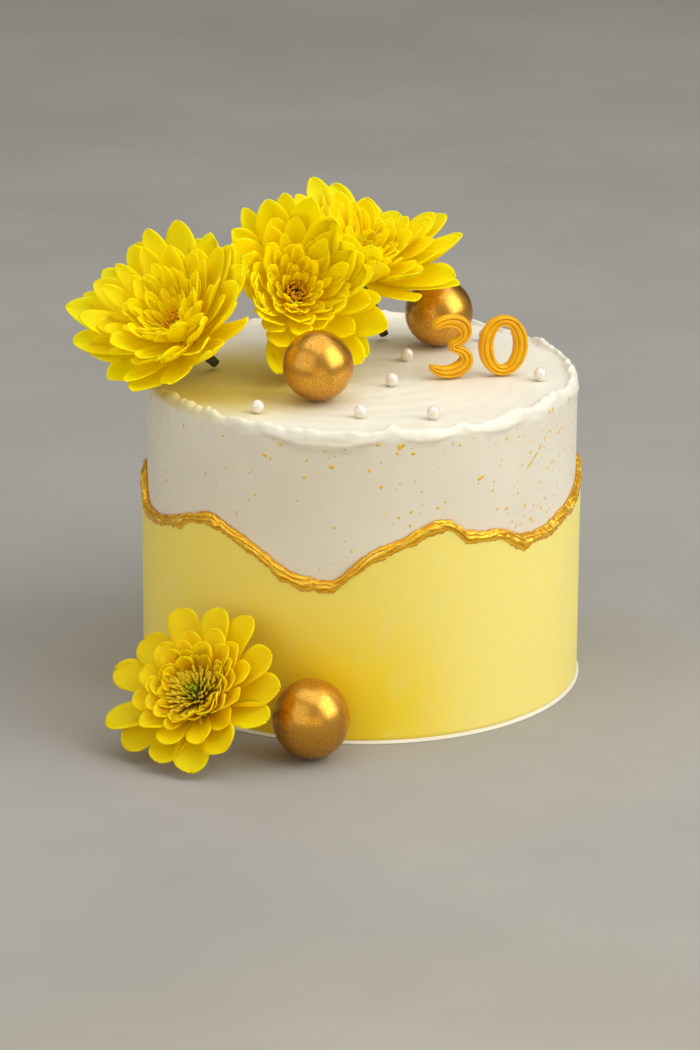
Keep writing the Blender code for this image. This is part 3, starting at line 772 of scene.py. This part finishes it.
def fine_petal(shape, petal, draw, inner, blunt):
    """Adds one petal's upper surface: cupped, with faint grooves, a wavy rim and a rounded tip."""
    points, faces, uvs, tints = shape
    side = petal.direction.cross(petal.out)
    shares = [1 - (1 - row / (FINE_ROWS - 1)) ** 1.35 for row in range(FINE_ROWS)]
    line = petal_line(petal, shares)
    along = (line[-1][0] - line[-2][0]).normalized()
    wave = draw.uniform(0, 6.28)
    wave_size = petal.width * draw.uniform(0.02, 0.07)
    twist = draw.uniform(-0.35, 0.35)
    curl = draw.uniform(-0.05, 0.12) * petal.length
    cup = PETAL_CUP * draw.uniform(0.85, 1.35) * (1.4 if inner else 1.0)
    notch = draw.uniform(0.0, 0.035) * petal.length
    tint = draw.uniform(0, 1)
    faces += grid_faces(FINE_ROWS, FINE_ACROSS, first=len(points), closed=False)
    for (place, normal), share in zip(line, shares):
        half = FINE_WIDER * petal.width / 2 * max(0.05, width_share(share, blunt))
        turned_side = side * math.cos(twist * share) + normal * math.sin(twist * share)
        bend = normal * (curl * max(0.0, share - 0.7) ** 2 * 4)
        groove = 0.008 * petal.width * math.sin(math.pi * min(1, share * 1.05))
        for step in range(FINE_ACROSS):
            v = 2 * step / (FINE_ACROSS - 1) - 1
            rim = cup * 2 * half * abs(v) ** 1.7
            grooves = groove * math.cos(3 * math.pi * v)
            ripple = wave_size * abs(v) ** 3 * math.sin(share * 9 + wave + v)
            tip = along * (-notch * math.exp(-((v / 0.3) ** 2)) * max(0.0, share - 0.8) * 5)
            points.append(place + turned_side * (half * v) + normal * (rim + grooves + ripple) + bend + tip)
            uvs.append((v * 0.5 + 0.5, share))
            tints.append((tint, 1.0 if inner else 0.0, share))


def make_petals(name, finish):
    """All the petals of a flower as one piece, each thin and closed."""
    flower = FLOWERS[name]
    across, up, out = flower_axes(flower)
    at_foot = name == FOOT_FLOWER
    shape = points, faces, uvs, tints = [], [], [], []
    shape_draw = random.Random(flower.seed + 100)
    for inner, whorls in enumerate(WHORLS[at_foot]):
        draw = random.Random(flower.seed + 50 * inner)
        uneven = INNER_UNEVEN if inner else 1.0
        for ring, (count, share, width, (low, high), (away, along)) in enumerate(whorls):
            for i in range(count):
                turn = 2 * math.pi * (i + ring / 2 + uneven * draw.uniform(-0.16, 0.16)) / count
                length = flower.length * share * draw.uniform(0.90, 1.06)
                length *= 1 - bells(flower.short_sides, math.degrees(turn))
                own_width = width * (1 + uneven * draw.uniform(-0.10, 0.10))
                tilt = flower.closing + uneven * draw.uniform(-5, 5)
                direction = across * math.cos(turn) + up * math.sin(turn)
                base = flower.centre + direction * away + out * along
                petal = Petal(base, direction, out, length, own_width, (low + tilt, high + tilt))
                fine_petal(shape, fitted(name, petal), shape_draw, share < SHORT_PETAL, at_foot)
    made = make_mesh(name + "_petals", points, faces, finish, uvs)
    add_tint(made, tints)
    solid = made.modifiers.new("Thickness", "SOLIDIFY")
    solid.thickness = FINE_THICKNESS
    solid.offset = 0
    return made


def make_florets(name, finish):
    """The disc: thin florets that stand out of a low dome, packed in the spiral of a seed head."""
    flower = FLOWERS[name]
    across, up, out = flower_axes(flower)
    at_foot = name == FOOT_FLOWER
    disc = FLORET_DISCS[at_foot]
    count = FLORET_COUNTS[at_foot]
    draw = random.Random(flower.seed + 200)
    points, faces, tints = [], [], []
    for i in range(BARE_FLORETS[at_foot], count):
        share = math.sqrt((i + 0.5) / count)
        turn = i * GOLDEN_ANGLE
        direction = across * math.cos(turn) + up * math.sin(turn)
        lean = math.radians((20 + 58 * share if at_foot else 5 + 25 * share) + draw.uniform(-11, 11))
        tall = (0.0036 + 0.0048 * share) * draw.uniform(0.8, 1.15) * (1.15 if at_foot else 0.8)
        thick = 0.00034 + 0.00024 * share
        foot_point = flower.centre + direction * disc * share * 0.52 + out * (-0.0026 if at_foot else -0.0040)
        way = direction * math.sin(lean) + out * math.cos(lean)
        side = way.cross(direction).normalized()
        other = way.cross(side) * 0.6
        faces += tube_faces(len(FLORET_ROWS), FLORET_SIDES, first=len(points))
        for along, wide in FLORET_ROWS:
            middle = foot_point + way * tall * along + direction * (-tall * 0.22 * along * along)
            points += [middle + (side * c + other * s) * thick * wide for c, s in circle(FLORET_SIDES)]
            tints += [(draw.random(), share, along)] * FLORET_SIDES
    made = face_out(make_mesh(name + "_florets", points, faces, finish))
    add_tint(made, tints)
    return made


def make_heart(name, finish):
    """The base of the flower under its petals, with overlapping bracts."""
    flower = FLOWERS[name]
    across, up, out = flower_axes(flower)
    at_foot = name == FOOT_FLOWER
    disc = DISC_RADII[at_foot] - 0.0006
    top = HEART_TOPS[at_foot]
    shares, depths = zip(*HEART_PROFILE)
    steps, rows, bract_rows = 64, 30, 6
    points = []
    for row in range(rows + 1):
        depth = top + (depths[-1] - top) * row / rows
        wide = disc * float(np.interp(depth, depths, shares))
        for step in range(steps):
            turn = 2 * math.pi * step / steps
            scale = abs(math.sin(4 * turn + (row // bract_rows) * math.pi / 2)) ** 0.5
            bract = 1 + 0.06 * scale * (1 - (row % bract_rows) / bract_rows)
            direction = across * math.cos(turn) + up * math.sin(turn)
            points.append(flower.centre + direction * max(0.0006, wide * bract) - out * depth)
    return face_out(make_mesh(name + "_heart", points, tube_faces(rows + 1, steps), finish))


def make_stem(name, finish):
    """The stem under a flower, wound with tape whose edge runs round it in a low spiral step."""
    flower = FLOWERS[name]
    start = flower.stem_foot
    end = flower.centre - flower_axes(flower)[2] * STEM_SUNK
    way = (end - start).normalized()
    side = way.orthogonal().normalized()
    other = way.cross(side)
    rows, steps = 60, 24
    points = []
    for row in range(rows + 1):
        share = row / rows
        for step, (c, s) in enumerate(circle(steps)):
            winding = (share * TAPE_TURNS + step / steps) % 1
            radius = STEM_RADIUS * (1 + 0.3 * share) * (0.93 + 0.10 * winding)
            points.append(start + (end - start) * share + (side * c + other * s) * radius)
    return face_out(make_mesh(name + "_stem", points, tube_faces(rows + 1, steps), finish))


# Materials

class Nodes:
    """A material's node tree, with short calls for the nodes used here."""

    def __init__(self, name):
        self.material = bpy.data.materials.new(name)
        self.material.use_nodes = True
        self.tree = self.material.node_tree
        self.shader = self.tree.nodes["Principled BSDF"]
        coordinates = self.add("TexCoord", {})
        self.place = coordinates["Object"]
        self.uv = coordinates["UV"]

    def add(self, kind, inputs, **properties):
        """A new node's outputs, with its inputs and properties set by name or number."""
        node = self.tree.nodes.new("ShaderNode" + kind)
        for name, value in properties.items():
            setattr(node, name, value)
        for name, value in inputs.items():
            self.link(value, node.inputs[name])
        return node.outputs

    def link(self, value, socket):
        """Joins an output to an input, or sets the input to a plain value or an opaque colour."""
        if isinstance(value, bpy.types.NodeSocket):
            self.tree.links.new(value, socket)
        else:
            socket.default_value = (*value, 1) if socket.type == "RGBA" else value

    def setting(self, name, value):
        """Sets one of the shader's own inputs to a plain value or an output."""
        self.link(value, self.shader.inputs[name])

    def coat(self, weight, roughness):
        """A thin clear coat."""
        self.setting("Coat Weight", weight)
        self.setting("Coat Roughness", roughness)

    def glow_through(self, weight, radius, scale=None):
        """Light that spreads under the surface."""
        self.setting("Subsurface Weight", weight)
        self.setting("Subsurface Radius", radius)
        if scale:
            self.setting("Subsurface Scale", scale)

    def uneven_roughness(self, scale, low, high):
        """A roughness that wanders between two values."""
        self.setting("Roughness", self.stretch(self.noise(scale), 0.3, 0.7, low, high))

    def noise(self, scale, detail=3.0, roughness=0.5, distortion=0.0):
        """Noise between 0 and 1."""
        values = {"Scale": scale, "Detail": detail, "Roughness": roughness, "Distortion": distortion}
        return self.add("TexNoise", {"Vector": self.place, **values})["Fac"]

    def math(self, operation, *values):
        """A Math node's result."""
        return self.add("Math", dict(enumerate(values)), operation=operation)[0]

    def times(self, first, *others):
        """The product of some values."""
        for other in others:
            first = self.math("MULTIPLY", first, other)
        return first

    def stretch(self, value, low, high, out_low=0.0, out_high=1.0):
        """A value moved from one range to another, and held inside it."""
        values = dict(enumerate((value, low, high, out_low, out_high)))
        return self.add("MapRange", values, clamp=True, interpolation_type="SMOOTHSTEP")["Result"]

    def blend(self, share, first, second):
        """A mix of two colours."""
        return self.add("Mix", {"Factor": share, "A": first, "B": second}, data_type="RGBA")["Result"]

    def cloudy(self, value, first, second):
        """A mix of two colours by the middle part of a noise."""
        return self.blend(self.stretch(value, 0.3, 0.7), first, second)

    def bump(self, height, distance, strength):
        """Fine relief in the shading."""
        outputs = self.add("Bump", {"Height": height, "Distance": distance, "Strength": strength})
        self.setting("Normal", outputs["Normal"])

    def part(self, vector, axis):
        """One coordinate of a vector."""
        return self.add("SeparateXYZ", {0: vector})[axis]

    def tints(self):
        """The three values kept in the tint of each point."""
        colour = self.add("Attribute", {}, attribute_name="tint")["Color"]
        return [self.part(colour, axis) for axis in "XYZ"]


def white_cream():
    """Off-white cream: soft and faintly streaked, painted whiter on the top as painted light, and with the
    flowers' yellow shade painted on it under them.
    """
    m = Nodes("white_cream_fine")
    colour = m.cloudy(m.noise(22), (0.755, 0.70, 0.57), (0.795, 0.745, 0.615))
    cells = m.add("TexVoronoi", {"Vector": m.place, "Scale": 210.0}, feature="F1")
    speck = m.stretch(cells["Distance"], 0.05, 0.16, 1.0, 0.0)
    few = m.stretch(m.part(cells["Color"], "X"), 0.62, 0.70)
    colour = m.blend(m.times(speck, few, 0.30), colour, (0.60, 0.46, 0.26))
    # Painted shade: the top is painted yellow under the flowers, for the yellow shade they cast on it.
    away = m.add("VectorMath", {0: m.place, 1: FLOWER_SHADE_MIDDLE}, operation="DISTANCE")["Value"]
    near = m.stretch(away, 0.018, 0.062, 1.0, 0.0)
    upper = m.stretch(m.part(m.place, "Z"), TOP_Z - 0.0030, TOP_Z - 0.0002)
    # Painted light: the top is painted whiter than the side, where more light falls on it.
    colour = m.blend(m.times(upper, 0.38), colour, (0.84, 0.84, 0.75))
    m.setting("Base Color", m.blend(m.times(near, upper, 0.92), colour, (0.63, 0.49, 0.050)))
    m.uneven_roughness(60, 0.40, 0.52)
    m.glow_through(0.20, (0.0040, 0.0036, 0.0030), 0.5)
    m.coat(0.12, 0.35)
    m.bump(m.noise(350, 4, 0.55), 0.00012, 0.5)
    return m.material


def yellow_cream():
    """Yellow cream: pale near the seam and on the right, richer towards the foot and the left."""
    m = Nodes("yellow_cream_fine")
    across = m.part(m.place, "X")
    down = m.stretch(m.part(m.place, "Z"), 0.012, 0.070, 1.0, 0.0)
    rich = m.times(down, m.stretch(across, -0.090, -0.045), m.stretch(across, -0.005, 0.055, 1.0, 0.0))
    rich = m.math("ADD", rich, m.times(m.math("SUBTRACT", m.noise(16), 0.5), 0.25))
    pale = m.blend(m.stretch(across, -0.02, 0.06), (0.98, 0.75, 0.125), (0.98, 0.79, 0.215))
    colour = m.blend(m.stretch(rich, 0.0, 1.0), pale, (1.0, 0.70, 0.006))
    smear = m.stretch(m.noise(90, 2, 0.5, 0.6), 0.55, 0.75)
    m.setting("Base Color", m.blend(m.times(smear, 0.10), colour, (0.93, 0.86, 0.60)))
    m.uneven_roughness(55, 0.38, 0.50)
    m.glow_through(0.30, (0.006, 0.004, 0.001), 0.6)
    m.coat(0.15, 0.35)
    m.bump(m.noise(320, 4, 0.55), 0.00010, 0.5)
    return m.material


def gold_paint(name, dark, bright, roughness, metallic, ridged=False):
    """Metallic gold paint, thicker and darker in places, with painted shade in the grooves where it is
    ridged.
    """
    m = Nodes(name)
    cloud = m.stretch(m.noise(200, 4, 0.6), 0.3, 0.7)
    if ridged:
        # Painted shade: the paint is darker in the grooves of the ridges and brighter on their crests.
        crest = m.stretch(m.tints()[0], 0.25, 0.8)
        cloud = m.math("ADD", m.times(cloud, 0.3), m.times(crest, 0.7))
    m.setting("Base Color", m.blend(cloud, dark, bright))
    m.setting("Metallic", metallic)
    m.uneven_roughness(500, roughness - 0.07, roughness + 0.10)
    m.bump(m.noise(900, 3, 0.6), 0.00006, 0.4)
    return m.material


def gold_leaf():
    """Coppery gold leaf with a fine mottled grain."""
    m = Nodes("gold_leaf_fine")
    mottle = m.noise(1300, 4, 0.7)
    colour = m.blend(m.stretch(mottle, 0.28, 0.72), (0.54, 0.255, 0.028), (0.78, 0.41, 0.070))
    worn = m.stretch(m.noise(120, 3, 0.6), 0.5, 0.75)
    m.setting("Base Color", m.blend(m.times(worn, 0.14), colour, (0.40, 0.16, 0.01)))
    m.setting("Metallic", 1.0)
    m.setting("Roughness", m.stretch(mottle, 0.3, 0.7, 0.37, 0.25))
    m.bump(mottle, 0.00008, 0.32)
    return m.material


def pearl_sugar():
    """White sugar pearl with a soft shimmer."""
    m = Nodes("pearl_sugar_fine")
    grain = m.noise(1500, 3, 0.6)
    m.setting("Base Color", m.blend(m.stretch(grain, 0.35, 0.65), (0.74, 0.66, 0.54), (0.90, 0.85, 0.77)))
    m.setting("Metallic", 0.25)
    m.setting("Roughness", m.stretch(grain, 0.3, 0.7, 0.30, 0.42))
    m.setting("Sheen Weight", 0.2)
    m.coat(0.5, 0.2)
    m.glow_through(0.15, (0.002, 0.0018, 0.0015))
    m.bump(grain, 0.00008, 0.5)
    return m.material


def sugar_paste():
    """Golden yellow moulded sugar paste."""
    m = Nodes("sugar_paste_fine")
    m.setting("Base Color", m.cloudy(m.noise(180), (0.78, 0.37, 0.002), (0.89, 0.48, 0.004)))
    m.setting("Metallic", 0.12)
    m.setting("Specular IOR Level", 0.3)
    m.uneven_roughness(700, 0.34, 0.50)
    m.glow_through(0.10, (0.003, 0.0015, 0.0003))
    m.bump(m.noise(1100, 3, 0.6), 0.00010, 0.4)
    return m.material


def petal_finish(at_foot):
    """Bright yellow petals with fine veins along them, deeper orange towards their base, with painted shade
    in their hollow and a faint painted glow.
    """
    m = Nodes("petal_foot_fine" if at_foot else "petal_top_fine")
    own, inner, along = m.tints()
    # The foot flower's petals are a darker copy of the top ones: painted shade, for the shade it sits in by
    # the cake's foot.
    if at_foot:
        bright = m.blend(own, (0.80, 0.51, 0.0), (0.87, 0.61, 0.0))
        deep = m.blend(inner, (0.76, 0.38, 0.0), (0.55, 0.22, 0.0))
        shaded, hollow_size = (0.66, 0.30, 0.0), 0.55
    else:
        bright = m.blend(own, (0.88, 0.655, 0.0), (0.90, 0.73, 0.0))
        deep = m.blend(inner, (0.89, 0.605, 0.0), (0.86, 0.49, 0.0))
        shaded, hollow_size = (0.93, 0.52, 0.0), 0.12
    # Deeper orange towards the base: partly the petals' own colour, partly painted shade deep in the flower.
    reach = m.math("ADD", m.times(inner, 0.40), 0.48)
    colour = m.blend(m.stretch(along, 0.0, reach, 1.0, 0.0), bright, deep)
    # Painted shade in the hollow of each petal, along its middle and towards its base.
    from_middle = m.math("ABSOLUTE", m.math("SUBTRACT", m.part(m.uv, "X"), 0.5))
    hollow = m.times(m.stretch(from_middle, 0.22, 0.46, 1.0, 0.0), m.stretch(along, 0.60, 0.97, 1.0, 0.0))
    hollow = m.times(hollow, m.math("ADD", m.times(inner, hollow_size), 0.10))
    colour = m.blend(hollow, colour, shaded)
    wave = {"Vector": m.uv, "Scale": 3.2, "Distortion": 1.2, "Detail": 2}
    veins = m.add("TexWave", wave, wave_type="BANDS", bands_direction="X")["Fac"]
    colour = m.blend(m.times(veins, 0.06), colour, (0.95, 0.52, 0.0))
    m.setting("Base Color", colour)
    m.setting("Roughness", 0.55)
    m.setting("Specular IOR Level", 0.12)
    # Painted glow: the petals give off a little light of their own colour, standing in for light that passes
    # through them; less at the foot.
    m.setting("Emission Color", colour)
    m.setting("Emission Strength", 0.05 if at_foot else 0.09)
    m.glow_through(0.7, (0.0040, 0.0030, 0.0002), 0.9)
    m.bump(veins, 0.00012, 0.25)
    return m.material


def floret_finish(at_foot):
    """Florets: green or brown in the middle and yellow outwards, and dark at their base."""
    m = Nodes("floret_foot_fine" if at_foot else "floret_top_fine")
    own, away, along = m.tints()
    middle = (0.30, 0.46, 0.01) if at_foot else (0.20, 0.08, 0.002)
    outer = (0.74, 0.52, 0.01) if at_foot else (0.82, 0.42, 0.002)
    colour = m.blend(m.stretch(away, 0.05, 0.50), middle, outer)
    colour = m.blend(m.stretch(along, 0.0, 0.7, 0.90, 0.0), colour, (0.17, 0.07, 0.003))
    m.setting("Base Color", m.blend(m.times(own, 0.30), colour, (0.92, 0.76, 0.03)))
    m.setting("Roughness", 0.55)
    m.setting("Specular IOR Level", 0.2)
    m.glow_through(0.2, (0.002, 0.0015, 0.0003))
    return m.material


def green_finish(name, scale, dark, light, roughness, bump):
    """The flowers' green parts, with a faint cloud in their colour."""
    m = Nodes(name)
    cloud = m.noise(scale, 3, 0.6)
    m.setting("Base Color", m.cloudy(cloud, dark, light))
    m.setting("Roughness", roughness)
    m.bump(cloud, bump, 0.5)
    return m.material


# Camera, light and floor

def make_camera():
    """The photo's camera."""
    data = bpy.data.cameras.new("photo_camera")
    data.sensor_width = SENSOR
    data.lens = FOCAL_PIXELS / FRAME_HEIGHT * SENSOR
    data.clip_end = 20
    tilt = Matrix.Rotation(math.radians(90 - PITCH_DOWN), 4, "X")
    roll = Matrix.Rotation(math.radians(ROLL), 4, "Z")
    camera = add_object("photo_camera", data)
    camera.matrix_world = Matrix.Translation(EYE) @ tilt @ roll
    bpy.context.scene.camera = camera


def make_light(name, place, size, power, colour, target):
    """A soft square light that looks at the cake."""
    data = bpy.data.lights.new(name, "AREA")
    data.size = size
    data.energy = power
    data.color = colour
    lamp = add_object(name, data)
    lamp.location = place
    lamp.rotation_euler = (Vector(target) - Vector(place)).to_track_quat("-Z", "Y").to_euler()


def make_world(colour, strength):
    """Even light from all round."""
    world = bpy.data.worlds.new("studio_world")
    world.use_nodes = True
    background = world.node_tree.nodes["Background"]
    background.inputs["Color"].default_value = (*colour, 1)
    background.inputs["Strength"].default_value = strength
    bpy.context.scene.world = world


def make_floor():
    """A pale floor that bends up into a plain backdrop."""
    m = Nodes("studio_floor")
    m.setting("Base Color", m.cloudy(m.noise(5, 4, 0.6), (0.310, 0.296, 0.272), (0.348, 0.334, 0.306)))
    m.setting("Roughness", 0.85)
    front, depth, bend, high, half = FLOOR_SIZES
    line = [(front, 0.0), (depth, 0.0)]
    for a in np.linspace(0.1, math.pi / 2, 12):
        line.append((depth + bend * math.sin(a), bend - bend * math.cos(a)))
    line.append((depth + bend, high))
    points = [(x, y, z) for y, z in line for x in (-half, half)]
    faces = [(2 * i, 2 * i + 1, 2 * i + 3, 2 * i + 2) for i in range(len(line) - 1)]
    make_mesh("studio_floor", points, faces, m.material)


def put(piece, slot, *nodes):
    """Lets a piece ride with the cake and hides the solids it stands for."""
    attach(piece, "root")
    if nodes:
        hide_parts(*nodes)


def main():
    make_camera()
    bpy.context.scene.view_settings.view_transform = "Standard"
    make_world((1.0, 0.98, 0.95), 0.42)
    for light in LIGHTS:
        make_light(*light)
    make_floor()
    put(make_white_cake(white_cream()), "white_cream", "cream_cake")
    put(make_pearls(pearl_sugar()), "white_cream")
    put(make_yellow_coat(yellow_cream()), "yellow_cream", "yellow_cream")
    thick_gold = gold_paint("gold_paint_fine", (0.66, 0.26, 0.0), (1.0, 0.63, 0.030), 0.26, 0.5, ridged=True)
    thin_gold = gold_paint("gold_spatter_fine", (0.80, 0.44, 0.02), (0.93, 0.57, 0.04), 0.42, 0.2)
    put(make_gold_edge(thick_gold), "gold_paint", "gold_edge")
    put(make_spatter(thin_gold), "gold_paint")
    leaf = gold_leaf()
    for node in BALLS:
        put(make_gold_ball(node, leaf), "gold_ball", node)
    paste = sugar_paste()
    put(make_numeral("numeral_three", three_sides(), False, paste), "gold_numeral", "numeral_three")
    put(make_numeral("numeral_zero", zero_sides(), True, paste), "gold_numeral", "numeral_zero")
    petals = {at_foot: petal_finish(at_foot) for at_foot in (False, True)}
    florets = {at_foot: floret_finish(at_foot) for at_foot in (False, True)}
    green = green_finish("bract_green_fine", 300, (0.10, 0.17, 0.03), (0.20, 0.28, 0.06), 0.55, 0.00015)
    tape = green_finish("stem_tape_fine", 500, (0.025, 0.030, 0.015), (0.06, 0.065, 0.03), 0.6, 0.00012)
    for name in FLOWERS:
        at_foot = name == FOOT_FLOWER
        put(make_petals(name, petals[at_foot]), "petal_yellow", name)
        put(make_florets(name, florets[at_foot]), "petal_yellow")
        put(make_heart(name, green), "petal_yellow")
        put(make_stem(name, tape), "petal_yellow")


main()
